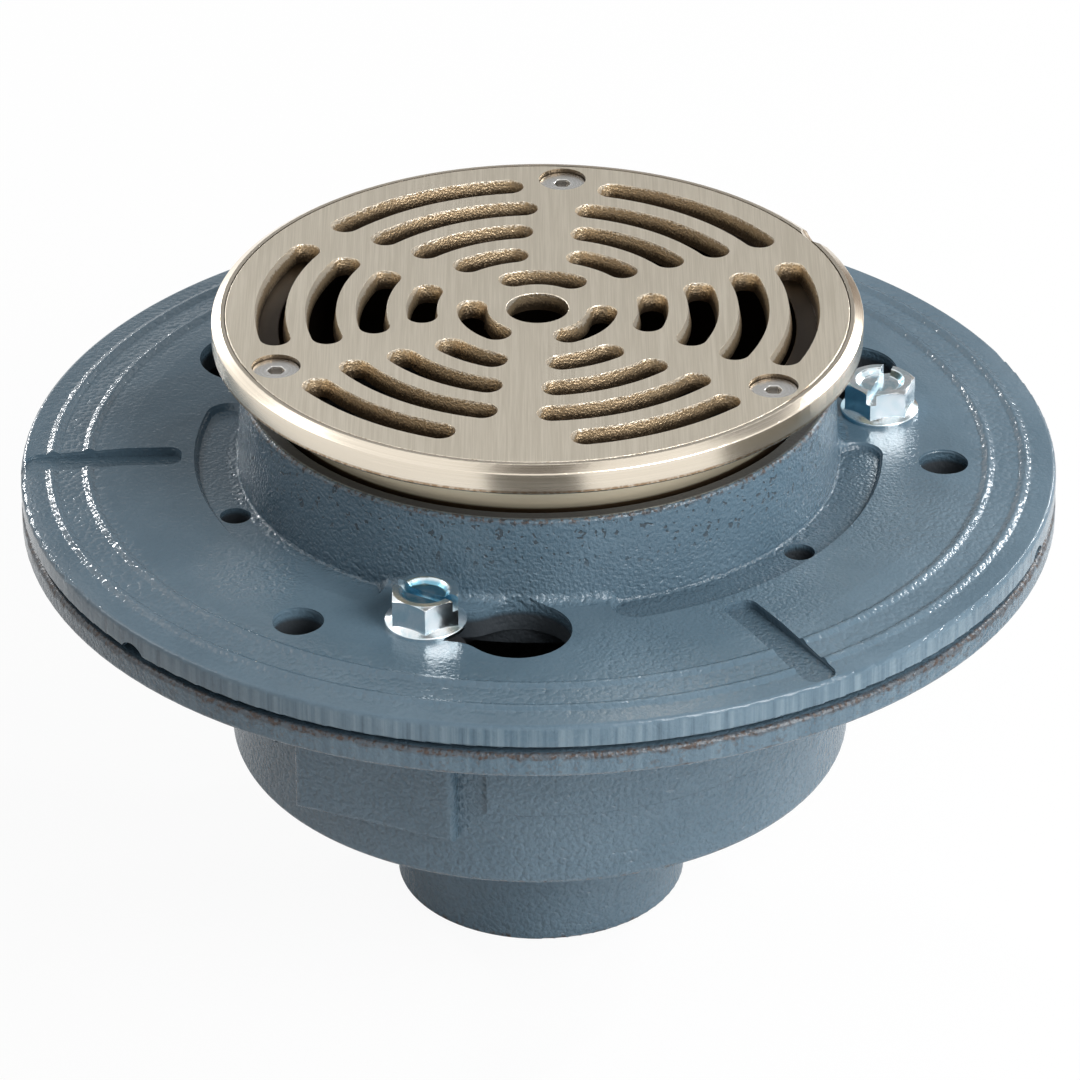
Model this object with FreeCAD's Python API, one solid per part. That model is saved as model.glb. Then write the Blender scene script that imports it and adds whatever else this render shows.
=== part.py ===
import FreeCAD, Part
import math
import os

# All sizes in millimetres and degrees, heights above the outlet's foot

# Outlet spigot
outlet_diameter = 59.69
outlet_bore = 50.8
outlet_length = 35.5
outlet_edge = 0.8

# Bowl
bowl_diameter = 126.8
bowl_wall = 6.0
bowl_depth = 51.35
bowl_edge = 1.8
floor_thickness = 6.0
floor_fall = 3.5
floor_fillet = 6.0

# Rough band around the bowl, left out beside the pad
band_rise = 16.5
band_step = 0.9
band_start = -99.5
band_sweep = 313.5

# Flare from the bowl to the mouth under the collar
mouth_inset = 16.5
flare_depth = 22.0
flare_wall = 8.0

# Flat pad on the bowl's side
pad_direction = -113.4
pad_distance = 66.2
pad_left = 25.0
pad_right = 9.5
pad_rise = 10.5
pad_edge = 1.8

# Body flange with its raised seat
flange_diameter = 209.0
flange_thickness = 5.1
flange_edge = 1.1
seat_width = 5.0
seat_rise = 1.35
seat_edge = 0.6

# Clamp bolts
bolt_count = 3
bolt_angle = -107.9
bolt_diameter = 7.94
bolt_length = 22.0
bolt_hole_clearance = 0.15
bolt_head_turns = (150.0, 72.0, 47.0)
washer_diameter = 16.0
washer_edge = 0.8
washer_rise = 0.9
hex_flats = 12.7
hex_height = 5.4
hex_chamfer_angle = 30.0
dish_depth = 1.1
dish_rim = 1.4
driver_slot_width = 2.1
driver_slot_depth = 2.4
lug_diameter = 16.0
lug_depth = 16.5

# Collar flange
collar_inset = 0.1
collar_thickness = 6.2
collar_edge = 1.0
collar_lower_edge = 0.6
margin_width = 21.0
margin_fall = 1.4
bead_insets = (6.3, 13.6)
bead_width = 2.6
bead_height = 0.75
bead_round = 0.9

# Keyholes, holes and grooves of the collar
keyhole_diameter = 21.0
keyhole_gap = 0.1
keyhole_turn = 14.6
keyhole_fillet = 7.0
slot_clearance = 2.0
plain_hole_diameter = 10.0
plain_hole_offset = 10.5
plain_hole_angle = -124.7
weep_hole_diameter = 6.2
weep_hole_offset = 4.4
weep_angle = -38.0
recess_width = 8.9
recess_depth = 1.3
recess_slope = 1.0
recess_sweep = 79.0
groove_angle = 61.7
groove_width = 7.0
groove_depth = 1.9
groove_inset = 0.9
groove_length = 31.5
groove_corner = 2.5
notch_angle = -19.0
notch_width = 6.8
notch_depth = 2.0
notch_start = 84.0

# Collar neck
neck_wall = 4.3
neck_height = 17.6
neck_draft = 0.8
neck_fillet = 2.0
neck_edge = 0.8
neck_mouth = 1.2
pilot_height = 3.2
pilot_clearance = 0.2

# Strainer ring
ring_diameter = 130.2
ring_height = 5.6
ring_lip = 2.6
ring_bevel_width = 1.8
ring_bevel_height = 1.2
ring_lower_edge = 0.4
ring_taper = 4.6
ring_lift = 8.9
shank_inset = 9.9
shank_length = 30.5
shank_wall = 3.6
shank_clearance = 0.3
shank_chamfer = 1.5

# Chip in the ring's rim
chip_angle = 28.5
chip_radius = 7.6
chip_bite = 1.3

# Grate
grate_thickness = 3.8
grate_gap = 0.2
grate_edge = 0.15
centre_hole_diameter = 12.5
spoke_count = 6
spoke_angle = 24.6
spoke_width = 7.6
row_count = 4
outer_row_inset = 9.0
slot_width = 6.2
slot_draft = 0.7
screw_spoke_width = 15.3
bare_spoke_width = 22.2
bare_spoke_angle = -95.4
inner_slot_circle = 26.1
inner_slot_gap = 8.2

# Grate screws
screw_count = 3
screw_inset = 5.8
screw_angle = 84.6
screw_diameter = 4.8
screw_length = 7.5
screw_head_diameter = 9.4
screw_head_angle = 41.0
screw_head_land = 0.3
screw_sink = 0.9
screw_clearance = 0.15
screw_socket_flats = 3.175
screw_socket_depth = 1.8

# Overrun of a cutting tool past the face it opens, the least distance between two places,
# and the most of a side that one rounded corner takes
overrun = 1.0
least = 1e-3
corner_share = 0.48

# Levels
bowl_level = outlet_length
flange_level = bowl_level + bowl_depth
flange_top = flange_level + flange_thickness
seat_level = flange_top + seat_rise
collar_top = seat_level + collar_thickness
neck_top = collar_top + neck_height
ring_level = neck_top + ring_lift
ring_top = ring_level + ring_height
grate_level = ring_top - grate_thickness
shank_foot = ring_level - shank_length

# Radii that two pieces share, from the ring and the flange inward or outward
ring_radius = ring_diameter / 2
rebate_radius = ring_radius - ring_lip
grate_radius = rebate_radius - grate_gap
screw_distance = grate_radius - screw_inset
shank_radius = ring_radius - shank_inset
neck_bore = shank_radius + shank_clearance
neck_radius = neck_bore + neck_wall
neck_foot = neck_radius + neck_draft
bolt_radius = bolt_diameter / 2
bolt_distance = neck_foot + keyhole_gap + keyhole_diameter / 2
collar_radius = flange_diameter / 2 - collar_inset
mouth_radius = flange_diameter / 2 - mouth_inset
seat_radius = mouth_radius + seat_width
bowl_radius = bowl_diameter / 2
bowl_inside = bowl_radius - bowl_wall

centre = FreeCAD.Vector(0, 0, 0)
upward = FreeCAD.Vector(0, 0, 1)


# Closed profile of (radius, height, corner radius) points; a corner radius shrinks to fit its sides
def rounded_profile(points):
    corners = []
    for index, point in enumerate(points):
        here = FreeCAD.Vector(point[0], 0, point[1])
        before = points[index - 1]
        after = points[(index + 1) % len(points)]
        back = FreeCAD.Vector(before[0], 0, before[1]) - here
        ahead = FreeCAD.Vector(after[0], 0, after[1]) - here
        wanted = point[2] if len(point) > 2 else 0.0
        if wanted == 0.0:
            corners.append((here, here, here))
            continue
        half = back.getAngle(ahead) / 2
        reach = min(wanted / math.tan(half), back.Length * corner_share, ahead.Length * corner_share)
        radius = reach * math.tan(half)
        back.normalize()
        ahead.normalize()
        bisector = back + ahead
        bisector.normalize()
        middle = here + bisector * (radius / math.sin(half) - radius)
        corners.append((here + back * reach, middle, here + ahead * reach))
    edges = []
    for index, (first, middle, last) in enumerate(corners):
        following = corners[(index + 1) % len(corners)][0]
        if first != last:
            edges.append(Part.Arc(first, middle, last).toShape())
        edges.append(Part.makeLine(last, following))
    return Part.Face(Part.Wire(edges))


# Solid turned about the axis, from a start angle through a sweep
def turned(points, start=0.0, sweep=360.0):
    solid = rounded_profile(points).revolve(centre, upward, sweep)
    solid.rotate(centre, upward, start)
    return solid


def turned_copy(shape, angle):
    copy = shape.copy()
    copy.rotate(centre, upward, angle)
    return copy


# The same shape repeated evenly about the axis
def around(shape, count):
    return [turned_copy(shape, 360.0 * index / count) for index in range(count)]


def polar(radius, angle, level):
    turn = math.radians(angle)
    return FreeCAD.Vector(radius * math.cos(turn), radius * math.sin(turn), level)


def rod(radius, distance, angle, low, high):
    return Part.makeCylinder(radius, high - low, polar(distance, angle, low))


# Cone or cylinder between two levels with a radius for each
def tapered_rod(low_radius, high_radius, distance, angle, low, high):
    if abs(low_radius - high_radius) < least:
        return rod(low_radius, distance, angle, low, high)
    return Part.makeCone(low_radius, high_radius, high - low, polar(distance, angle, low))


# Curved slot with round ends about the axis, its sides drafted inward by draft at the low level
def curved_slot(distance, width, draft, low, high, start, sweep):
    wide = width / 2
    narrow = wide - draft
    section = [
        (distance - narrow, low),
        (distance + narrow, low),
        (distance + wide, high),
        (distance - wide, high),
    ]
    first = tapered_rod(narrow, wide, distance, start, low, high)
    last = tapered_rod(narrow, wide, distance, start + sweep, low, high)
    return turned(section, start, sweep).fuse([first, last]).removeSplitter()


def hexagon(flats, low, high):
    corners = [polar(flats / math.sqrt(3), 60.0 * index, low) for index in range(7)]
    return Part.Face(Part.makePolygon(corners)).extrude(upward * (high - low))


# Body casting: turned shell, band, pad and lugs, with the bolt holes
def make_body():
    outlet_radius = outlet_diameter / 2
    bore_radius = outlet_bore / 2
    floor_level = bowl_level + floor_thickness
    flare_level = flange_level - flare_depth
    shell = turned([
        (bore_radius, 0.0, outlet_edge),
        (outlet_radius, 0.0, outlet_edge),
        (outlet_radius, bowl_level, bowl_edge),
        (bowl_radius, bowl_level, bowl_edge),
        (bowl_radius, flare_level, floor_fillet),
        (mouth_radius + flare_wall, flange_level, bowl_edge),
        (flange_diameter / 2, flange_level, flange_edge),
        (flange_diameter / 2, flange_top, flange_edge),
        (seat_radius, flange_top),
        (seat_radius, seat_level, seat_edge),
        (mouth_radius, seat_level, seat_edge),
        (mouth_radius, flange_level, floor_fillet),
        (bowl_inside, flare_level, floor_fillet),
        (bowl_inside, floor_level + floor_fall, floor_fillet),
        (bore_radius, floor_level, outlet_edge),
    ])
    band = turned([
        (bowl_radius - bowl_wall / 2, bowl_level + band_rise),
        (bowl_radius + band_step, bowl_level + band_rise, band_step),
        (bowl_radius + band_step, flare_level, band_step),
        (bowl_radius - bowl_wall / 2, flare_level),
    ], band_start, band_sweep)
    hollow = rod(bowl_inside + bowl_wall / 4, 0.0, 0.0, bowl_level, seat_level)
    pad_low = bowl_level + pad_rise
    pad_high = flare_level
    pad_width = pad_left + pad_right
    pad = Part.makeBox(pad_distance, pad_width, pad_high - pad_low, FreeCAD.Vector(0, -pad_left, pad_low))
    face_edges = [edge for edge in pad.Edges if edge.BoundBox.XMin > pad_distance - least]
    pad = pad.makeFillet(pad_edge, [edge for edge in face_edges if edge.BoundBox.ZMin < pad_high - least])
    pad = turned_copy(pad.cut(hollow), pad_direction)
    lug_low = flange_level - lug_depth
    web_length = mouth_radius + flare_wall / 2 - bolt_distance
    web_foot = FreeCAD.Vector(bolt_distance, -lug_diameter / 2, flange_level)
    web = Part.makeBox(web_length, lug_diameter, seat_level - flange_level, web_foot)
    lug = rod(lug_diameter / 2, bolt_distance, 0.0, lug_low, seat_level).fuse(web)
    lugs = around(turned_copy(lug, bolt_angle), bolt_count)
    hole_radius = bolt_radius + bolt_hole_clearance
    hole = rod(hole_radius, bolt_distance, bolt_angle, lug_low - overrun, seat_level + overrun)
    return shell.fuse([band, pad] + lugs).cut(around(hole, bolt_count)).removeSplitter()


# Keyhole: a large hole and the slot that leads to the bolt, with eased corners between them
def make_keyhole():
    low = seat_level - overrun
    high = collar_top + neck_fillet
    width = bolt_diameter + 2 * slot_clearance
    large = rod(keyhole_diameter / 2, bolt_distance, bolt_angle + keyhole_turn, low, high)
    slot = curved_slot(bolt_distance, width, 0.0, low, high, bolt_angle, keyhole_turn)
    opening = large.fuse(slot).removeSplitter()
    hub = polar(bolt_distance, bolt_angle + keyhole_turn, low)
    corners = []
    for edge in opening.Edges:
        box = edge.BoundBox
        upright = box.ZLength > high - low - least and box.XLength < least and box.YLength < least
        foot = FreeCAD.Vector(box.XMin, box.YMin, low)
        on_hole = abs(foot.distanceToPoint(hub) - keyhole_diameter / 2) < least
        on_slot = abs(abs(math.hypot(foot.x, foot.y) - bolt_distance) - width / 2) < least
        if upright and on_hole and on_slot:
            corners.append(edge)
    return opening.makeFillet(keyhole_fillet, corners)


# Collar casting: turned flange, neck and pilot, then the cuts
def make_collar():
    edge_top = collar_top - margin_fall
    margin_radius = collar_radius - margin_width
    recess_floor = collar_top - recess_depth
    pilot_radius = bolt_distance - keyhole_diameter / 2 - pilot_clearance
    bead_points = []
    for bead_inset in bead_insets:
        crest = collar_radius - bead_inset
        base = edge_top + margin_fall * bead_inset / margin_width
        bead_points += [
            (crest + bead_width / 2, base, bead_round),
            (crest, base + bead_height, bead_round),
            (crest - bead_width / 2, base, bead_round),
        ]
    casting = turned([
        (neck_bore, seat_level - pilot_height),
        (pilot_radius, seat_level - pilot_height),
        (pilot_radius, seat_level),
        (collar_radius, seat_level, collar_lower_edge),
        (collar_radius, edge_top, collar_edge),
    ] + bead_points + [
        (margin_radius, collar_top, margin_width / 4),
        (neck_foot, collar_top, neck_fillet),
        (neck_radius, neck_top, neck_edge),
        (neck_bore + neck_mouth, neck_top),
        (neck_bore, neck_top - neck_mouth),
    ])
    cut_width = recess_width + recess_slope
    recess_middle = neck_foot + recess_width - cut_width / 2
    half_sweep = recess_sweep / 2 - math.degrees(cut_width / 2 / recess_middle)
    recess_high = collar_top + neck_fillet
    steep = recess_slope * (recess_high - recess_floor) / recess_depth
    flared = 2 * (steep - recess_slope)
    recess = curved_slot(recess_middle, cut_width + flared, steep, recess_floor, recess_high,
                         weep_angle - half_sweep, 2 * half_sweep)
    recess = recess.cut(rod(neck_foot, 0.0, 0.0, seat_level, neck_top))
    root = turned([
        (neck_bore + shank_clearance, recess_floor - recess_depth),
        (neck_foot + 2 * recess_depth, recess_floor - recess_depth),
        (neck_foot + 2 * recess_depth, recess_floor),
        (neck_foot, recess_floor, recess_depth),
        (neck_foot, collar_top),
        (neck_bore + shank_clearance, collar_top),
    ])
    casting = casting.cut(around(recess, bolt_count)).fuse(root)
    groove_end = collar_radius - groove_inset
    groove_start = groove_end - groove_length
    groove_floor = collar_top - groove_depth
    groove_foot = FreeCAD.Vector(groove_start, -groove_width / 2, groove_floor)
    groove = Part.makeBox(groove_length, groove_width, groove_depth + overrun, groove_foot)
    uprights = [edge for edge in groove.Edges if edge.BoundBox.ZLength > groove_depth]
    groove = turned_copy(groove.makeFillet(groove_corner, uprights), groove_angle)
    notch_radius = (notch_width ** 2 / 4 + notch_depth ** 2) / (2 * notch_depth)
    notch_foot = FreeCAD.Vector(notch_start, 0, seat_level + notch_depth - notch_radius)
    notch_length = collar_radius - notch_start + overrun
    notch = Part.makeCylinder(notch_radius, notch_length, notch_foot, FreeCAD.Vector(1, 0, 0))
    notch = turned_copy(notch, notch_angle)
    low = seat_level - overrun
    high = collar_top + overrun
    weep_distance = neck_foot + weep_hole_offset
    weep = rod(weep_hole_diameter / 2, weep_distance, weep_angle, low, high)
    plain_distance = bolt_distance + plain_hole_offset
    plain_hole = rod(plain_hole_diameter / 2, plain_distance, plain_hole_angle, low, high)
    cuts = []
    for tool in (make_keyhole(), groove, notch, weep, plain_hole):
        cuts += around(tool, bolt_count)
    return casting.cut(cuts).removeSplitter()


# Clamp bolt: washer head with a dished, slotted hexagon
def make_bolt(index):
    washer_top = collar_top + washer_edge + washer_rise
    hex_top = washer_top + hex_height
    hex_radius = hex_flats / math.sqrt(3)
    slope = math.tan(math.radians(hex_chamfer_angle))
    dish_radius = hex_flats / 2 - dish_rim
    washer = turned([
        (0.0, collar_top),
        (washer_diameter / 2, collar_top),
        (washer_diameter / 2, collar_top + washer_edge, washer_edge / 2),
        (hex_flats / 2, washer_top),
        (0.0, washer_top),
    ])
    envelope = turned([
        (0.0, collar_top),
        (hex_radius, collar_top),
        (hex_radius, hex_top - (hex_radius - hex_flats / 2) * slope),
        (hex_flats / 2, hex_top),
        (dish_radius, hex_top, dish_rim / 2),
        (dish_radius - dish_depth, hex_top - dish_depth, dish_rim / 2),
        (0.0, hex_top - dish_depth),
    ])
    head = hexagon(hex_flats, collar_top + washer_edge / 2, hex_top + overrun).common(envelope)
    slot_corner = FreeCAD.Vector(-hex_radius - overrun, -driver_slot_width / 2, hex_top - driver_slot_depth)
    slot_length = 2 * (hex_radius + overrun)
    slot = Part.makeBox(slot_length, driver_slot_width, driver_slot_depth + overrun, slot_corner)
    shank = rod(bolt_radius, 0.0, 0.0, collar_top - bolt_length, collar_top + washer_edge)
    bolt = washer.fuse([head, shank]).cut(slot).removeSplitter()
    bolt.rotate(centre, upward, bolt_head_turns[index])
    bolt.translate(polar(bolt_distance, bolt_angle + 360.0 * index / bolt_count, 0.0))
    return bolt


# Screw hole or screw, grown by a clearance
def screw_form(clearance, top, foot):
    head_top = ring_top - screw_sink
    head_radius = screw_head_diameter / 2 + clearance
    stem_radius = screw_diameter / 2 + clearance
    land = head_top - screw_head_land
    neck = land - (head_radius - stem_radius) / math.tan(math.radians(screw_head_angle))
    form = turned([
        (0.0, foot),
        (stem_radius, foot),
        (stem_radius, neck),
        (head_radius, land),
        (head_radius, top),
        (0.0, top),
    ])
    form.translate(polar(screw_distance, screw_angle, 0.0))
    return form


# Strainer ring: rim, ledge and shank, with the chip and the screw holes
def make_ring():
    shank_inside = shank_radius - shank_wall
    ring = turned([
        (shank_inside, shank_foot),
        (shank_radius - shank_chamfer, shank_foot),
        (shank_radius, shank_foot + shank_chamfer),
        (shank_radius, ring_level - ring_taper, ring_lower_edge),
        (ring_radius, ring_level, ring_lower_edge),
        (ring_radius, ring_top - ring_bevel_height, ring_lower_edge),
        (ring_radius - ring_bevel_width, ring_top, ring_lower_edge),
        (rebate_radius, ring_top),
        (rebate_radius, grate_level),
        (shank_inside, grate_level, ring_lower_edge),
    ])
    reach = (chip_radius - chip_bite) * math.sqrt(0.5)
    rim_distance = ring_radius - ring_bevel_width / 2
    rim_level = ring_top - ring_bevel_height / 2
    chip = Part.makeSphere(chip_radius, polar(rim_distance + reach, chip_angle, rim_level + reach))
    hole = screw_form(screw_clearance, ring_top, ring_top - screw_sink - screw_length - overrun)
    return ring.cut([chip] + around(hole, screw_count)).removeSplitter()


# Grate: disc with rows of curved slots between spokes, and the sunk screw seats
def make_grate():
    disc = turned([
        (centre_hole_diameter / 2, grate_level),
        (grate_radius, grate_level),
        (grate_radius, ring_top, grate_edge),
        (centre_hole_diameter / 2, ring_top, grate_edge),
    ])
    low = grate_level - overrun
    high = ring_top + overrun
    steep = slot_draft * (high - low) / grate_thickness
    cut_width = slot_width + 2 * slot_draft * overrun / grate_thickness
    spoke_step = 360.0 / spoke_count
    bare_spoke = round((bare_spoke_angle - spoke_angle) / spoke_step) % spoke_count
    inner_row = inner_slot_circle / 2
    row_pitch = (grate_radius - outer_row_inset - inner_row) / row_count
    slots = []
    for row in range(row_count):
        distance = inner_row + row_pitch * (row + 1)
        widths = [spoke_width] * spoke_count
        if row == row_count - 1:
            widths[1::2] = [screw_spoke_width] * screw_count
            widths[bare_spoke] = bare_spoke_width
        for spoke in range(spoke_count):
            ends = [widths[spoke], widths[(spoke + 1) % spoke_count]]
            insets = [math.degrees(math.asin((width + slot_width) / 2 / distance)) for width in ends]
            start = spoke_angle + spoke_step * spoke + insets[0]
            sweep = spoke_step - insets[0] - insets[1]
            slots.append(curved_slot(distance, cut_width, steep, low, high, start, sweep))
    inset = math.degrees(math.asin((inner_slot_gap + slot_width) / 2 / inner_row))
    start = screw_angle - 180.0 / screw_count + inset
    inner_slot = curved_slot(inner_row, cut_width, steep, low, high, start, 360.0 / screw_count - 2 * inset)
    slots += around(inner_slot, screw_count)
    hole = screw_form(screw_clearance, ring_top + overrun, grate_level - overrun)
    return disc.cut(slots + around(hole, screw_count)).removeSplitter()


# Countersunk screw with a hexagon socket
def make_screw(index):
    head_top = ring_top - screw_sink
    screw = screw_form(0.0, head_top, head_top - screw_length)
    socket = hexagon(screw_socket_flats, head_top - screw_socket_depth, head_top + overrun)
    socket.translate(polar(screw_distance, screw_angle, 0.0))
    return turned_copy(screw.cut(socket), 360.0 * index / screw_count)


pieces = {
    "drain_body": make_body(),
    "clamping_collar": make_collar(),
    "strainer_ring": make_ring(),
    "strainer_grate": make_grate(),
}
for index in range(bolt_count):
    pieces["clamp_bolt_%d" % (index + 1)] = make_bolt(index)
for index in range(screw_count):
    pieces["grate_screw_%d" % (index + 1)] = make_screw(index)

os.makedirs("parts", exist_ok=True)
for name, shape in pieces.items():
    solid = shape.Solids[0] if len(shape.Solids) == 1 else shape
    solid.exportStep("parts/%s.step" % name)
    print(name, len(shape.Solids), "solid", round(shape.Volume / 1000, 2), "cm3", shape.isValid())
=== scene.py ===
import math

import bpy
from mathutils import Matrix, Vector


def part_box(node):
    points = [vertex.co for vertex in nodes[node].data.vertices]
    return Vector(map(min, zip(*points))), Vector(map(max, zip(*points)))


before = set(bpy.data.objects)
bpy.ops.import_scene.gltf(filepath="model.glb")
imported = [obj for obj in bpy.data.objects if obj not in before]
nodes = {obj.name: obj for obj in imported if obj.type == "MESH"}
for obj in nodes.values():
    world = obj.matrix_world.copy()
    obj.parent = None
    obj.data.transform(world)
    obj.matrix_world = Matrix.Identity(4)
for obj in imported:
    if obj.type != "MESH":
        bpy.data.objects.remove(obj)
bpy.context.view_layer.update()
scene = bpy.context.scene
mm = 0.001
noiseMean = 0.5                                       # what a noise texture's values lie about
print("frame loaded:", ", ".join(sorted(nodes)))


# a node's top level and middle in millimetres, as the finishes count
def topOf(name):
    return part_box(name)[1].z / mm


def middleOf(name):
    low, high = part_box(name)
    return (low + high) / (2 * mm)


# a socket that takes part in sums
class Wire:
    def __init__(self, shader, socket):
        self.shader = shader
        self.socket = socket

    def sum(self, operation, first, second):
        return self.shader.node("Math", {"operation": operation}, {0: first, 1: second})

    def __add__(self, other):
        return self.sum("ADD", self, other)

    def __radd__(self, other):
        return self.sum("ADD", other, self)

    def __sub__(self, other):
        return self.sum("SUBTRACT", self, other)

    def __rsub__(self, other):
        return self.sum("SUBTRACT", other, self)

    def __mul__(self, other):
        return self.sum("MULTIPLY", self, other)

    def __rmul__(self, other):
        return self.sum("MULTIPLY", other, self)

    def __truediv__(self, other):
        return self.sum("DIVIDE", self, other)

    def __rtruediv__(self, other):
        return self.sum("DIVIDE", other, self)

    def __pow__(self, other):
        return self.sum("POWER", self, other)

    def __rpow__(self, other):
        return self.sum("POWER", other, self)


class Shader:
    def __init__(self, owner):                        # a material or the world
        owner.use_nodes = True
        self.owner = owner
        self.tree = owner.node_tree
        self.tree.nodes.clear()

    # one node: its settings first, then the values or links of its sockets
    def node(self, kind, settings=None, sockets=None, out=0):
        made = self.tree.nodes.new("ShaderNode" + kind)
        for key, value in (settings or {}).items():
            setattr(made, key, value)
        for key, value in (sockets or {}).items():
            if isinstance(value, Wire):
                self.tree.links.new(value.socket, made.inputs[key])
            else:
                made.inputs[key].default_value = value
        return Wire(self, made.outputs[out]) if made.outputs else None

    # place on the piece in millimetres, which moves with it
    def place(self):
        spot = self.node("TexCoord", out="Object")
        return self.node("VectorMath", {"operation": "SCALE"}, {0: spot, "Scale": 1 / mm})

    def parts(self, vector):
        split = self.node("SeparateXYZ", sockets={0: vector})
        return [Wire(self, socket) for socket in split.socket.node.outputs]

    def point(self, x, y, z):
        return self.node("CombineXYZ", sockets={0: x, 1: y, 2: z})

    def normal(self):
        return self.parts(self.node("NewGeometry", out="Normal"))

    # distance from an upright line, and the turn around it
    def reach(self, x, y):
        return (x * x + y * y) ** 0.5

    def turn(self, x, y):
        return self.node("Math", {"operation": "ARCTAN2"}, {0: y, 1: x})

    def noise(self, spot, scale, detail=2.0, roughness=0.5, distortion=0.0):
        return self.node("TexNoise", sockets={"Vector": spot, "Scale": scale, "Detail": detail,
                                              "Roughness": roughness, "Distortion": distortion})

    # from start at low to end at high, eased between
    def ease(self, value, low, high, start=0.0, end=1.0):
        return self.node("MapRange", {"interpolation_type": "SMOOTHSTEP"},
                         {0: value, 1: low, 2: high, 3: start, 4: end})

    def fade(self, value, low, high):
        return self.ease(value, low, high, 1.0, 0.0)

    # 1 between low and high, with soft ends
    def within(self, value, low, high, soft):
        return self.ease(value, low - soft, low + soft) * self.fade(value, high - soft, high + soft)

    def larger(self, most, *others):
        for other in others:
            most = self.node("Math", {"operation": "MAXIMUM"}, {0: most, 1: other})
        return most

    def smaller(self, first, second):
        return self.node("Math", {"operation": "MINIMUM"}, {0: first, 1: second})

    def blend(self, amount, first, second):
        return self.node("Mix", {"data_type": "RGBA"}, {0: amount, 6: first, 7: second}, out=2)

    def bump(self, height, distance):
        return self.node("Bump", sockets={"Height": height, "Distance": distance * mm, "Strength": 1.0})

    def finish(self, sockets):
        surface = self.node("BsdfPrincipled", sockets=sockets)
        self.node("OutputMaterial", sockets={"Surface": surface})
        return self.owner


def newFinish(name):
    return Shader(bpy.data.materials.new(name))


def colour(red, green, blue):
    return (red, green, blue, 1.0)


edgeWork = {"weld": 0.001, "flat": 0.05}              # millimetres, degrees


# a finish, and the edges that the tools left sharp made soft
def dress(name, material, edge):
    piece = nodes[name]
    piece.data.materials.clear()
    piece.data.materials.append(material)
    weld = piece.modifiers.new("weld", "WELD")
    weld.merge_threshold = edgeWork["weld"] * mm
    flats = piece.modifiers.new("flats", "DECIMATE")
    flats.decimate_type = "DISSOLVE"
    flats.angle_limit = math.radians(edgeWork["flat"])
    bevel = piece.modifiers.new("edges", "BEVEL")
    bevel.width = edge["width"] * mm
    bevel.segments = edge["steps"]
    bevel.limit_method = "ANGLE"
    bevel.angle_limit = math.radians(edge["over"])
    bevel.use_clamp_overlap = True
    normals = piece.modifiers.new("normals", "WEIGHTED_NORMAL")
    normals.keep_sharp = False
    for face in piece.data.polygons:
        face.use_smooth = True
    piece.data.update()


# blue-grey coat on sand-cast iron
castCoat = {
    "paint": colour(0.090, 0.146, 0.192),
    # darker paint for pits, streaks and the flange rim; painted shade in the collar's recesses
    "paintDeepAndShade": colour(0.046, 0.080, 0.110),
    "paintPale": colour(0.112, 0.174, 0.224),
    # lighter streak tone: wear and painted sheen
    "paintWornAndSheen": colour(0.190, 0.260, 0.305),
    "shadeAndBareIron": colour(0.022, 0.024, 0.027),              # painted shade in bowl, bores and holes; bare iron at pinholes
    "rust": colour(0.062, 0.036, 0.024),
    "rustDark": colour(0.026, 0.020, 0.018),
    "roughness": 0.18,
    "grainRoughness": 0.10,                           # what grain, rust, and the painted shade and bare iron add to it
    "rustRoughness": 0.35,
    "shadeAndBareRoughness": 0.50,
    "grainSize": 0.50,                                # sizes in millimetres
    "leatherSize": 0.70,
    "pebbleSize": 1.2,
    "waveSize": 12.0,
    "cloudSize": 30.0,
    "streakRadius": 104.0,
    "streakStretch": 0.03,
    "streakScale": 0.6,
    "relief": 0.5,                                    # depth in millimetres of a height of 1
    "grainHeight": (0.10, 0.12),                      # on smooth casting, and what rough casting adds
    "leatherHeight": (0.14, 0.65),
    "pitShare": (0.08, 0.14),
    "waveHeight": 0.25,
    "pebbleHeight": 0.45,
    "streakHeight": 0.15,
    "shadeAndBareFlat": 0.7,                                  # share of the height that painted shade and bare iron lose
    "cloudRange": (0.35, 0.65),                       # noise values between which each tone comes in
    "pitRange": (0.38, 0.52),
    "wornAndSheenRange": (0.40, 0.72),
    "darkRange": (0.30, 0.44),
    "rustRange": (0.40, 0.65),
    "wornAndSheenShare": 0.8,
    "darkShare": 0.6,
}


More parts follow.
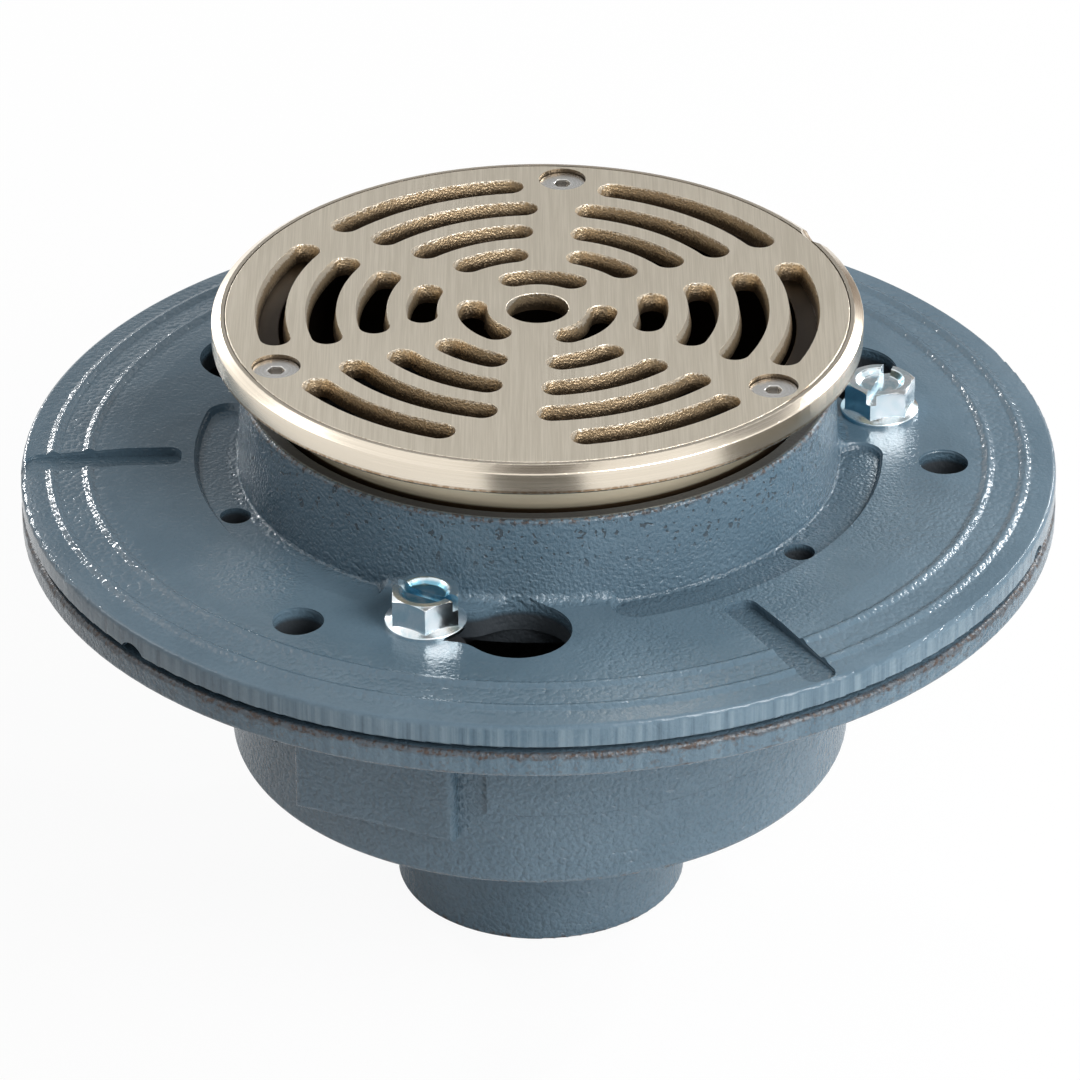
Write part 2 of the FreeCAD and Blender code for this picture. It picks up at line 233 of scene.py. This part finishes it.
def castIron(name, zones):
    s = newFinish(name)
    spot = s.place()
    x, y, z = s.parts(spot)
    grain = s.noise(spot, 1 / castCoat["grainSize"], detail=3.0, roughness=0.6)
    leather = s.noise(spot, 1 / castCoat["leatherSize"], detail=1.5, roughness=0.4, distortion=0.1)
    pebbles = s.node("TexVoronoi", sockets={"Vector": spot, "Scale": 1 / castCoat["pebbleSize"]})
    waves = s.noise(spot, 1 / castCoat["waveSize"])
    cloud = s.noise(spot, 1 / castCoat["cloudSize"], detail=3.0, roughness=0.55)
    around = s.point(s.turn(x, y) * castCoat["streakRadius"], z * castCoat["streakStretch"], 0.0)
    streaks = s.noise(around, castCoat["streakScale"], detail=3.0, roughness=0.6)
    zone = zones(s, spot)                             # how much of each finish lies where
    rough, streaked, rusty, shadeAndBare = zone["rough"], zone["streaked"], zone["rusty"], zone["shadeAndBare"]

    def onRough(amounts):
        return amounts[0] + amounts[1] * rough

    height = grain * onRough(castCoat["grainHeight"]) + leather * onRough(castCoat["leatherHeight"])
    height = height + waves * castCoat["waveHeight"]
    height = height - pebbles * pebbles * zone["pebbled"] * castCoat["pebbleHeight"]
    height = height + streaks * streaked * castCoat["streakHeight"]
    height = height * (1 - castCoat["shadeAndBareFlat"] * shadeAndBare)

    paint = s.blend(s.ease(cloud, *castCoat["cloudRange"]), castCoat["paint"], castCoat["paintPale"])
    pits = s.fade(leather, *castCoat["pitRange"]) * onRough(castCoat["pitShare"])
    # darker pits, and the deep mask: painted shade in the collar's recesses, a darker rim on the body
    paint = s.blend(s.larger(pits, zone["deep"]), paint, castCoat["paintDeepAndShade"])
    # lighter streaks on the rims' sides: wear and painted sheen
    wornAndSheen = s.ease(streaks, *castCoat["wornAndSheenRange"]) * streaked * castCoat["wornAndSheenShare"]
    paint = s.blend(wornAndSheen, paint, castCoat["paintWornAndSheen"])
    dark = s.fade(streaks, *castCoat["darkRange"]) * streaked * castCoat["darkShare"]
    paint = s.blend(dark, paint, castCoat["paintDeepAndShade"])
    rustTone = s.blend(s.ease(grain, *castCoat["rustRange"]), castCoat["rust"], castCoat["rustDark"])
    paint = s.blend(rusty, paint, rustTone)
    # near black: painted shade in the bowl, bores and holes, bare iron at the pinholes
    paint = s.blend(shadeAndBare, paint, castCoat["shadeAndBareIron"])
    gloss = castCoat["roughness"] + castCoat["grainRoughness"] * (grain - noiseMean)
    gloss = gloss + castCoat["rustRoughness"] * rusty + castCoat["shadeAndBareRoughness"] * shadeAndBare
    return s.finish({
        "Base Color": paint,
        "Roughness": gloss,
        "Normal": s.bump(height, castCoat["relief"]),
    })


# the body's coat: from and to, as levels or as distances from the axis, in millimetres
bodyZones = {
    "rim": (103.0, 103.9),
    "upperRust": (90.85, 93.95),                      # along the flange's upper and lower edge
    "lowerRust": (84.85, 87.25),
    "rustSoft": 0.4,
    "raggedScale": 0.35,
    "ragged": 3.0,
    "speckScale": 0.55,
    "speckRange": (0.52, 0.62),
    "fineScale": 1.1,
    "fineRange": (0.48, 0.60),
    "upperShare": (0.55, 0.4),                        # rust all over, and what the specks add
    "lowerShare": (0.3, 0.5),
    "edgeSpecks": 0.4,
    "bowlFoot": (35.2, 36.5),
    "footSoft": 0.5,
    "footSpecks": 0.8,
    "lip": (0.6, 1.6),
    "bore": (25.5, 26.2),
    "floor": (40.0, 41.5),
    "bowlInside": 57.5,
    "flareFoot": 64.85,
    "flareSlope": 1.39,
    "insideWall": (0.4, 1.0),                         # past the inner wall
    "shoulder": (84.0, 86.5),                         # from the bowl's grain to the flange's
    "roughness": (1.0, 0.35),
    "pebbles": (1.3, 0.5),
    "rimStreaks": 0.4,
    "rimDeep": 0.25,
}


def bodyCoat(s, spot):
    x, y, z = s.parts(spot)
    r = s.reach(x, y)
    zone = bodyZones
    specks = s.ease(s.noise(spot, zone["speckScale"], detail=3.0, roughness=0.65), *zone["speckRange"])
    fine = s.ease(s.noise(spot, zone["fineScale"], roughness=0.6), *zone["fineRange"])
    rim = s.ease(r, *zone["rim"])
    ragged = z + (s.noise(spot, zone["raggedScale"], roughness=0.6) - noiseMean) * zone["ragged"]
    upper = s.within(ragged, *zone["upperRust"], zone["rustSoft"])
    lower = s.within(ragged, *zone["lowerRust"], zone["rustSoft"])
    upper = upper * (zone["upperShare"][0] + zone["upperShare"][1] * fine)
    lower = lower * (zone["lowerShare"][0] + zone["lowerShare"][1] * fine)
    flangeRust = rim * s.larger(upper, lower, fine * specks * zone["edgeSpecks"])
    foot = s.within(z, *zone["bowlFoot"], zone["footSoft"]) * specks * zone["footSpecks"]
    lip = s.fade(z, *zone["lip"]) * specks
    wall = zone["bowlInside"] + zone["flareSlope"] * s.larger(z - zone["flareFoot"], 0.0)
    # painted shade inside the bowl
    insideShade = s.fade(r - wall, *zone["insideWall"]) * s.ease(z, *zone["floor"])
    return {
        "rough": s.ease(z, *zone["shoulder"], *zone["roughness"]),
        "pebbled": s.ease(z, *zone["shoulder"], *zone["pebbles"]),
        "streaked": rim * zone["rimStreaks"],
        "deep": rim * zone["rimDeep"],
        "rusty": s.larger(flangeRust, foot, lip),
        # painted shade inside the bowl and down the outlet's bore
        "shadeAndBare": s.larger(insideShade, s.fade(r, *zone["bore"])),
    }


# the collar's coat, counted as the body's is
collarZones = {
    "neckEdge": (61.2, 64.1),                         # the neck's coarse casting, finer on the way up
    "neckRise": (100.0, 114.0),
    "neckRough": (0.9, 0.55),
    "patches": [                                      # rough spots of the casting
        {"away": 78, "turn": -22, "size": 24},
        {"away": 75, "turn": -55, "size": 20},
        {"away": 82, "turn": -76, "size": 18},
        {"away": 73, "turn": -138, "size": 17},
    ],
    "patchCore": 0.3,                                 # as a share of the patch's size
    "patchRough": 0.65,
    "foot": (60.0, 63.0),
    "footSoft": 0.5,
    "footRise": (101.0, 102.5),
    "beads": (87.9, 100.5),
    "beadSoft": 1.5,
    "pebbles": (0.15, 0.5),                           # all over, and what the beads add
    "plateau": 99.5,
    "margin": 83.4,
    "marginSlope": 0.067,
    "sunk": (0.30, 0.65),                             # depth below the collar's surface
    "sunkRim": (103.0, 103.6),
    "sunkRough": (-20, 20, 0.30, 0.70),               # from left to right
    # painted shade in the recesses and grooves, from left to right
    "sunkShade": (-40, 40, 0.10, 0.50),
    "topRust": (0.4, 1.3),                            # depth below the neck's top
    "topRustFrom": (58.7, 59.3),
    "rustScale": 0.9,
    "rustRange": (0.46, 0.60),
    "rustShare": (0.1, 0.8),                          # all along, and what the specks add
    "pinholeScale": 0.75,
    "pinholeRange": (0.645, 0.69),
    "pinholeRise": (103.0, 110.0),
    "pinholeShare": 0.7,
    "upright": (0.20, 0.45),                          # how far a wall's normal may rise
    # painted shade down the walls of the holes
    "holeTop": (96.4, 97.8),
    "holes": (60.1, 95.0),
    "holeSoft": 0.3,
    "holeShare": 0.9,
    "mouth": (0.2, 0.5),                              # painted shade on the neck's top face under the ring, by depth below the neck's top
    "mouthWithin": (58.6, 59.3),
    "bore": (55.5, 56.1),
    "edge": (103.4, 104.0),
    "edgeTop": (97.0, 97.8),
}


def collarCoat(s, spot):
    x, y, z = s.parts(spot)
    r = s.reach(x, y)
    zone = collarZones
    below = topOf("clamping_collar") - z
    patches = []
    for patch in zone["patches"]:
        turn = math.radians(patch["turn"])
        away = s.reach(x - patch["away"] * math.cos(turn), y - patch["away"] * math.sin(turn))
        core = patch["size"] * zone["patchCore"]
        patches.append(s.ease(away, core, patch["size"], zone["patchRough"], 0.0))
    patched = s.larger(*patches)
    neck = s.fade(r, *zone["neckEdge"])
    neckRough = neck * s.ease(z, *zone["neckRise"], *zone["neckRough"])
    foot = s.within(r, *zone["foot"], zone["footSoft"]) * s.fade(z, *zone["footRise"])
    beaded = s.within(r, *zone["beads"], zone["beadSoft"]) * zone["pebbles"][1] + zone["pebbles"][0]
    surface = zone["plateau"] - zone["marginSlope"] * s.larger(r - zone["margin"], 0.0)
    sunk = s.ease(surface - z, *zone["sunk"]) * s.fade(r, *zone["sunkRim"])
    specks = s.ease(s.noise(spot, zone["rustScale"], detail=3.0, roughness=0.65), *zone["rustRange"])
    topRust = s.fade(below, *zone["topRust"]) * s.ease(r, *zone["topRustFrom"])
    pinholes = s.ease(s.noise(spot, zone["pinholeScale"], detail=1.0), *zone["pinholeRange"])
    pinholes = pinholes * neck * s.ease(z, *zone["pinholeRise"]) * zone["pinholeShare"]
    # painted shade down the holes' walls, darker with depth
    holes = s.fade(s.normal()[2], *zone["upright"]) * s.fade(z, *zone["holeTop"])
    holes = holes * s.within(r, *zone["holes"], zone["holeSoft"]) * zone["holeShare"]
    # painted shade on the neck's top face under the ring
    mouth = s.fade(below, *zone["mouth"]) * s.fade(r, *zone["mouthWithin"])
    return {
        "rough": s.larger(neckRough, patched, sunk * s.ease(x, *zone["sunkRough"])),
        "pebbled": s.larger(beaded, patched, foot),
        "streaked": s.ease(r, *zone["edge"]) * s.fade(z, *zone["edgeTop"]),
        # painted shade in the recesses and grooves, less on the left
        "deep": sunk * s.ease(x, *zone["sunkShade"]),
        "rusty": topRust * (zone["rustShare"][0] + zone["rustShare"][1] * specks),
        # painted shade in the holes, under the ring and down the bore; bare iron at the pinholes
        "shadeAndBare": s.larger(holes, pinholes, mouth, s.fade(r, *zone["bore"])),
    }


# brushed nickel bronze
bronze = {
    "face": colour(0.735, 0.672, 0.562),
    "faceDeep": colour(0.640, 0.580, 0.475),
    "wornAndSheen": colour(0.830, 0.760, 0.640),              # upper edge of a slot: wear and painted highlight
    "wall": colour(0.430, 0.328, 0.208),              # a slot's side
    # painted shade low in a slot
    "wallShade": colour(0.070, 0.050, 0.031),
    "ring": colour(0.860, 0.775, 0.650),
    "ringDeep": colour(0.740, 0.650, 0.520),
    "shank": colour(0.820, 0.720, 0.540),
    # painted shade in the gap where the shank meets the neck
    "gapShade": colour(0.110, 0.070, 0.040),
    # brown stain on the ring's lower edge, partly painted shade
    "stainAndShade": colour(0.360, 0.245, 0.150),
    # painted shade on the ring's inside and ledge
    "insideShade": colour(0.022, 0.014, 0.008),
    "relief": 0.20,                                   # depth in millimetres of a height of 1
}


grateZones = {
    "wall": (0.80, 0.96),                             # how far the normal rises, from side to face
    "rightLit": (0.5, 0.95),                             # painted light: sides that face right are lighter
    "rightLitDepth": 1.2,                                # depths below the face in millimetres
    "recess": (6.0, 7.0),                             # darker walls above each screw's head
    "recessDepth": 2.3,
    # over these depths: lighter upper edges (wear and painted highlight), then painted shade down the
    # slots
    "wornAndSheen": (0.0, 0.6),
    "deep": (1.0, 2.8),
    "lumpSize": 1.8,
    "lumpDepth": 0.8,
    "fineSize": 0.45,
    "fineDepth": 1.8,
    "brush": (5.0, 0.06),                             # strokes per millimetre across and along
    "broad": (0.9, 0.03),
    "brushShare": 0.7,
    "faceRange": (0.38, 0.64),
    "brushHeight": 0.06,
    "fineHeight": 0.8,
    "lumpHeight": 0.2,
    "roughness": 0.36,
    "brushRoughness": 0.10,
    "wallRoughness": -0.10,
    "wallMetal": -0.25,
}


def grateBronze(name, screwMiddles):
    s = newFinish(name)
    spot = s.place()
    x, y, z = s.parts(spot)
    zone = grateZones
    normal = s.normal()
    wall = s.fade(normal[2], *zone["wall"])
    # painted light on the walls that face right
    rightLit = s.ease(normal[0], *zone["rightLit"])
    across, along = zone["brush"]
    brushed = s.noise(s.point(x * across, y * along, z), 1.0, detail=3.0, roughness=0.65)
    across, along = zone["broad"]
    broad = s.noise(s.point(x * across, y * along, z), 1.0)
    lumps = s.noise(spot, 1 / zone["lumpSize"])
    fine = s.noise(spot, 1 / zone["fineSize"], roughness=0.6)
    recesses = [s.fade(s.reach(x - middle.x, y - middle.y), *zone["recess"]) for middle in screwMiddles]
    strokes = brushed * zone["brushShare"] + broad * (1 - zone["brushShare"])
    face = s.blend(s.ease(strokes, *zone["faceRange"]), bronze["faceDeep"], bronze["face"])
    depth = topOf("strainer_grate") - z - rightLit * zone["rightLitDepth"]
    depth = depth + (lumps - noiseMean) * zone["lumpDepth"] + (fine - noiseMean) * zone["fineDepth"]
    depth = depth + s.larger(*recesses) * zone["recessDepth"]
    # lighter upper edges: wear and painted highlight; painted shade lower down the slots
    side = s.blend(s.ease(depth, *zone["wornAndSheen"]), bronze["wornAndSheen"], bronze["wall"])
    side = s.blend(s.ease(depth, *zone["deep"]), side, bronze["wallShade"])
    height = brushed * (1 - wall) * zone["brushHeight"]
    height = height + (fine * zone["fineHeight"] + lumps * zone["lumpHeight"]) * wall
    return s.finish({
        "Base Color": s.blend(wall, face, side),
        "Metallic": 1.0 + zone["wallMetal"] * wall,
        "Roughness": zone["roughness"] + zone["brushRoughness"] * brushed + zone["wallRoughness"] * wall,
        "Normal": s.bump(height, bronze["relief"]),
    })


ringZones = {
    "turned": (4.0, 1.5),                             # tool marks per millimetre, and per radian around
    "turnedRange": (0.35, 0.65, 0.55, 1.0),
    "turnedHeight": 0.02,
    "shank": (124.8, 125.8),
    "lowerEdge": (125.4, 126.7),
    "edgeSoft": 0.25,
    "rim": (62.7, 63.0),
    "stainAndShadeSize": 0.8,
    "stainAndShadeRange": (0.3, 0.6, 0.4, 1.0),
    "contactShade": (114.8, 117.3),                        # painted shade where the shank meets the neck's mouth
    "contactSoft": 0.3,
    # painted shade on the ring's inside
    "insideShade": (53.2, 54.2),
    "rebate": (62.4, 62.56),
    "ledge": (126.8, 127.2),
    "threadTop": (114.9, 115.5),
    "pitch": 2.2,
    "halfTurn": 0.5,
    "threadHeight": 6.0,
    "roughness": 0.16,
    "turnedRoughness": 0.08,
    "insideRoughness": 0.16,
    "shankRoughness": 0.20,
}


def ringBronze(name):
    s = newFinish(name)
    spot = s.place()
    x, y, z = s.parts(spot)
    zone = ringZones
    r = s.reach(x, y)
    angle = s.turn(x, y)
    marks, around = zone["turned"]
    turned = s.noise(s.point(r * marks, z * marks, angle * around), 1.0, detail=3.0, roughness=0.6)
    shank = s.fade(z, *zone["shank"])
    # painted shade on the ring's inside and the ledge under the grate
    insideShade = s.larger(s.fade(r, *zone["insideShade"]), s.fade(r, *zone["rebate"]) * s.ease(z, *zone["ledge"]))
    # brown stain along the lower edge, partly painted shade where the underside turns from the light
    stainsAndShade = s.ease(s.noise(spot, 1 / zone["stainAndShadeSize"], detail=3.0, roughness=0.6), *zone["stainAndShadeRange"])
    stainsAndShade = stainsAndShade * s.within(z, *zone["lowerEdge"], zone["edgeSoft"]) * s.ease(r, *zone["rim"])
    # painted shade in the gap between shank and neck
    contactShade = s.within(z, *zone["contactShade"], zone["contactSoft"])
    face = s.blend(s.ease(turned, *zone["turnedRange"]), bronze["ringDeep"], bronze["ring"])
    face = s.blend(shank, face, bronze["shank"])
    face = s.blend(stainsAndShade, face, bronze["stainAndShade"])
    face = s.blend(contactShade, face, bronze["gapShade"])
    face = s.blend(insideShade, face, bronze["insideShade"])
    turns = z / zone["pitch"] - angle / (2 * math.pi)
    ridge = s.node("Math", {"operation": "PINGPONG"}, {0: turns, 1: zone["halfTurn"]})
    thread = s.fade(z, *zone["threadTop"]) * (1 - insideShade)
    height = ridge * thread * zone["threadHeight"] + turned * zone["turnedHeight"]
    gloss = zone["roughness"] + zone["turnedRoughness"] * turned
    gloss = gloss + zone["insideRoughness"] * insideShade + zone["shankRoughness"] * shank
    return s.finish({
        "Base Color": face,
        "Metallic": 1.0,
        "Roughness": gloss,
        "Normal": s.bump(height, bronze["relief"]),
    })


# zinc-plated clamp bolts
zincPlate = {
    "bright": colour(0.86, 0.90, 0.92),
    "blue": colour(0.66, 0.78, 0.83),
    # blue of the dishes, and of the painted reflection on the left sides
    "tint": colour(0.16, 0.42, 0.56),
    "blueDish": (0.9, 0.3, 0.6),                      # how blue each bolt's dish is, and its left side's painted blue reflection
    "leftBlueReflection": (0.15, 0.85, 0.4),
    "dish": (5.0, 5.8),                               # from the bolt's axis
    "dishDepth": (0.2, 0.7),
    "dishRange": (0.36, 0.58, 0.4, 1.0),
    "leftFacing": (-0.75, -0.25),
    "mottleSize": 3.0,
    "mottleRange": (0.38, 0.66),
    "mottleHeight": 0.2,
    "grainSize": 0.5,
    "grainHeight": 0.12,
    "relief": 0.10,
    "roughness": 0.14,
    "mottleRoughness": 0.12,
}


def zinc(name, bolt, blueDish, leftBlueReflection):
    s = newFinish(name)
    spot = s.place()
    x, y, z = s.parts(spot)
    middle = middleOf(bolt)
    mottle = s.noise(spot, 1 / zincPlate["mottleSize"], detail=3.0, roughness=0.6)
    grain = s.noise(spot, 1 / zincPlate["grainSize"])
    plate = s.blend(s.ease(mottle, *zincPlate["mottleRange"]), zincPlate["bright"], zincPlate["blue"])
    dish = s.fade(s.reach(x - middle.x, y - middle.y), *zincPlate["dish"])
    dish = dish * s.ease(topOf(bolt) - z, *zincPlate["dishDepth"])
    dish = dish * s.ease(mottle, *zincPlate["dishRange"]) * blueDish
    # painted blue reflection on the faces that turn left
    leftReflection = s.ease(s.normal()[0], *zincPlate["leftFacing"], leftBlueReflection, 0.0)
    height = grain * zincPlate["grainHeight"] + mottle * zincPlate["mottleHeight"]
    return s.finish({
        "Base Color": s.blend(s.larger(dish, leftReflection), plate, zincPlate["tint"]),
        "Metallic": 1.0,
        "Roughness": zincPlate["roughness"] + zincPlate["mottleRoughness"] * mottle,
        "Normal": s.bump(height, zincPlate["relief"]),
    })


# polished steel grate screws
steelHead = {
    "bright": colour(0.96, 0.95, 0.93),
    "deep": colour(0.80, 0.79, 0.76),
    # painted shade in the hex socket
    "socket": colour(0.26, 0.235, 0.21),
    "socketDepth": (0.15, 0.7),
    "socketShare": 0.6,
    "marks": 6.0,                                     # tool marks per millimetre
    "markRange": (0.35, 0.65),
    "relief": 0.02,
    "roughness": 0.18,
    "markRoughness": 0.14,
}


def polishedSteel(name, screw):
    s = newFinish(name)
    x, y, z = s.parts(s.place())
    middle = middleOf(screw)
    turned = s.noise(s.point(s.reach(x - middle.x, y - middle.y) * steelHead["marks"], 0.0, 0.0), 1.0)
    plain = s.blend(s.ease(turned, *steelHead["markRange"]), steelHead["deep"], steelHead["bright"])
    # painted shade down the hex socket
    sunk = s.ease(topOf(screw) - z, *steelHead["socketDepth"]) * steelHead["socketShare"]
    return s.finish({
        "Base Color": s.blend(sunk, plain, steelHead["socket"]),
        "Metallic": 1.0,
        "Roughness": steelHead["roughness"] + steelHead["markRoughness"] * turned,
        "Normal": s.bump(turned, steelHead["relief"]),
    })


# soft edges: width in millimetres, steps, and the angle over which an edge counts as sharp
castEdge = {"width": 0.70, "steps": 3, "over": 50}
ringEdge = {"width": 0.12, "steps": 3, "over": 35}
grateEdge = {"width": 0.28, "steps": 3, "over": 35}
boltEdge = {"width": 0.40, "steps": 3, "over": 28}
screwEdge = {"width": 0.12, "steps": 2, "over": 35}
bolts = sorted(name for name in nodes if name.startswith("clamp_bolt"))
screws = sorted(name for name in nodes if name.startswith("grate_screw"))

dress("drain_body", castIron("bodyCastIron", bodyCoat), castEdge)
dress("clamping_collar", castIron("collarCastIron", collarCoat), castEdge)
dress("strainer_ring", ringBronze("ringBronze"), ringEdge)
dress("strainer_grate", grateBronze("grateBronze", [middleOf(screw) for screw in screws]), grateEdge)
for number, bolt in enumerate(bolts):
    blueDish, leftBlueReflection = zincPlate["blueDish"][number], zincPlate["leftBlueReflection"][number]
    dress(bolt, zinc("zincPlate%d" % (number + 1), bolt, blueDish, leftBlueReflection), boltEdge)
for number, screw in enumerate(screws):
    dress(screw, polishedSteel("screwSteel%d" % (number + 1), screw), screwEdge)
print("finishes done")


# studio: white floor and surround
studio = {
    "aim": Vector((0, 0, 0.09)),
    "floorSize": 8.0,
    "floorPale": colour(0.86, 0.86, 0.86),
    "floorWhite": 0.93,                               # how much of the floor is plain white to the camera
    "outlet": (27.0, 29.0),                           # inside the spigot it is only pale, in millimetres
    "shadow": (50.0, 190.0, 0.15, 1.0),               # near the spigot, reflections show its shadow
    "surround": 0.30,                                 # what the surround adds to the light
    "white": colour(1.0, 1.0, 1.0),
}

# soft boxes: turn and rise in degrees, distance and size in metres
boxes = {
    "keyBox": {"turn": -45, "rise": 32, "away": 0.75, "size": (0.45, 0.45), "power": 6.0},
    "rightBox": {"turn": 46, "rise": 19, "away": 1.2, "size": (0.13, 0.11), "power": 3.5},
    "glintBox": {"turn": 34, "rise": 30, "away": 1.2, "size": (0.08, 0.07), "power": 3.0},
    "fillBox": {"turn": 168, "rise": 40, "away": 1.0, "size": (0.4, 0.4), "power": 1.1},
    "leftBox": {"turn": 122, "rise": 18, "away": 1.2, "size": (0.11, 0.09), "power": 4.0},
}

# grey cards that show only in reflections, and a flag that only shades
cards = {
    "backCard": {"turn": 90, "rise": 31, "away": 1.6, "size": (1.0, 0.75), "tint": (0.35, 0.35, 0.35)},
    "horizonCard": {"turn": 66, "rise": 5, "away": 1.6, "size": (1.6, 0.5), "tint": (0.22, 0.17, 0.13)},
    "topCard": {"turn": -90, "rise": 82, "away": 1.6, "size": (0.48, 0.5), "tint": (0.10, 0.09, 0.08)},
    "sideCard": {"turn": 25, "rise": 50, "away": 1.5, "size": (0.6, 0.55), "tint": (0.25, 0.25, 0.25)},
    "frontCard": {"turn": -91, "rise": -14, "away": 0.268, "size": (0.133, 0.05),
                  "tint": (0.05, 0.045, 0.035)},
    "leftFlag": {"turn": 202, "rise": -16, "away": 0.17, "size": (0.26, 0.08),
                 "tint": (0.05, 0.04, 0.035), "shades": True},
    "lowCard": {"turn": -10, "rise": -14, "away": 0.26, "size": (0.19, 0.05), "tint": (0.16, 0.15, 0.13)},
}


# where a box or card hangs, turned to the drain
def hang(holder, entry):
    turn, rise = math.radians(entry["turn"]), math.radians(entry["rise"])
    flat = math.cos(rise)
    away = Vector((flat * math.cos(turn), flat * math.sin(turn), math.sin(rise)))
    holder.location = studio["aim"] + entry["away"] * away
    holder.rotation_euler = (studio["aim"] - holder.location).to_track_quat("-Z", "Y").to_euler()


def flatSheet(name, size, material):
    wide, tall = size[0] / 2, size[1] / 2
    mesh = bpy.data.meshes.new(name)
    corners = [(-wide, -tall, 0), (wide, -tall, 0), (wide, tall, 0), (-wide, tall, 0)]
    mesh.from_pydata(corners, [], [(0, 1, 2, 3)])
    mesh.materials.append(material)
    sheet = bpy.data.objects.new(name, mesh)
    scene.collection.objects.link(sheet)
    return sheet


def seenWhite(s, mirrored=1.0):
    path = s.node("LightPath").socket.node.outputs
    reflected = Wire(s, path["Is Glossy Ray"]) + Wire(s, path["Is Transmission Ray"])
    return s.smaller(Wire(s, path["Is Camera Ray"]) + reflected * mirrored, 1.0)


def makeFloor():
    s = newFinish("paleFloor")
    r = s.reach(*s.parts(s.place())[:2])
    seen = seenWhite(s, s.ease(r, *studio["shadow"])) * s.ease(r, *studio["outlet"])
    pale = s.node("BsdfDiffuse", sockets={"Color": studio["floorPale"]})
    white = s.node("Emission", sockets={"Color": studio["white"], "Strength": 1.0})
    mixed = s.node("MixShader", sockets={0: seen * studio["floorWhite"], 1: pale, 2: white})
    s.node("OutputMaterial", sockets={"Surface": mixed})
    floor = flatSheet("studioFloor", (studio["floorSize"], studio["floorSize"]), s.owner)


def makeSurround():
    scene.world = bpy.data.worlds.new("surround")
    s = Shader(scene.world)
    light = s.node("Background", sockets={"Color": studio["white"], "Strength": studio["surround"]})
    white = s.node("Background", sockets={"Color": studio["white"], "Strength": 1.0})
    mixed = s.node("MixShader", sockets={0: seenWhite(s), 1: light, 2: white})
    s.node("OutputWorld", sockets={"Surface": mixed})


def makeBoxes():
    for name, box in boxes.items():
        lamp = bpy.data.lights.new(name, "AREA")
        lamp.shape = "RECTANGLE"
        lamp.size, lamp.size_y = box["size"]
        lamp.energy = box["power"]
        holder = bpy.data.objects.new(name, lamp)
        scene.collection.objects.link(holder)
        hang(holder, box)


def makeCards():
    for name, card in cards.items():
        s = newFinish(name)
        tinted = s.node("Emission", sockets={"Color": colour(*card["tint"]), "Strength": 1.0})
        s.node("OutputMaterial", sockets={"Surface": tinted})
        sheet = flatSheet(name, card["size"], s.owner)
        hang(sheet, card)
        shades = card.get("shades", False)
        sheet.visible_camera = False
        sheet.visible_diffuse = shades
        sheet.visible_glossy = not shades
        sheet.visible_shadow = False
        sheet.visible_transmission = False


makeFloor()
makeSurround()
makeBoxes()
makeCards()
print("studio done")


# camera at the photograph's height and turn, in millimetres and degrees
shot = {
    "aim": (0.7, 0.0, 77.97),
    "distance": 1313.8,
    "raise": 30.273,
    "roll": -0.37,
    "lens": 215.04,
    "sensor": 36.0,
    "shift": -0.0022,
}


def makeCamera():
    camera = bpy.data.cameras.new("photoCamera")
    camera.lens = shot["lens"]
    camera.sensor_width = shot["sensor"]
    camera.shift_x = shot["shift"]
    holder = bpy.data.objects.new("photoCamera", camera)
    scene.collection.objects.link(holder)
    tilt = math.radians(shot["raise"])
    away = Vector((0, -math.cos(tilt), math.sin(tilt)))
    holder.location = (Vector(shot["aim"]) + shot["distance"] * away) * mm
    roll = Matrix.Rotation(math.radians(shot["roll"]), 4, "Z")
    turn = Matrix.Rotation(math.pi / 2 - tilt, 4, "X") @ roll
    holder.rotation_euler = turn.to_euler()
    scene.camera = holder


makeCamera()
scene.view_settings.view_transform = "Standard"
print("camera done")
